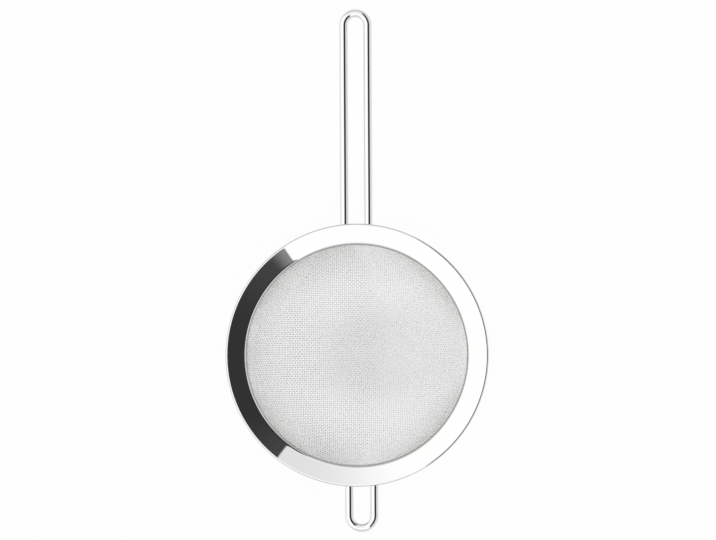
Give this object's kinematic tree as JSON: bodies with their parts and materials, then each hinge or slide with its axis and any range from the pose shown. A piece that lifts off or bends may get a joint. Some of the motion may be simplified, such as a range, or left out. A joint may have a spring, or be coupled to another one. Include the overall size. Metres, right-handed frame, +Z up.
{
  "type": "wire mesh strainer",
  "caption": "Hand strainer with a deep woven wire bowl clamped under a wide polished rim with a rolled edge, a long wire loop handle and a short wire loop that rests on a pot.",
  "frame": {"origin": "on the bowl's axis, level with the collar's lower edge, where the wire cloth leaves the collar", "axes": "+Y runs to the tip of the long handle, +Z points up out of the bowl, +X is to the right with the handle pointing away"},
  "size_m": [0.1976, 0.393, 0.0947],
  "materials": {
    "rim_steel": "polished",
    "cloth_steel": "satin",
    "clamp_steel": "satin",
    "loop_steel": "polished",
    "weld_steel": "satin"
  },
  "bodies": {
    "root": {"rim_flange": "rim_steel", "mesh_bowl": "cloth_steel", "clamp_ring": "clamp_steel", "handle_loop": "loop_steel", "rest_loop": "loop_steel", "handle_welds": "weld_steel", "rest_loop_welds": "weld_steel"}
  },
  "joints": []
}
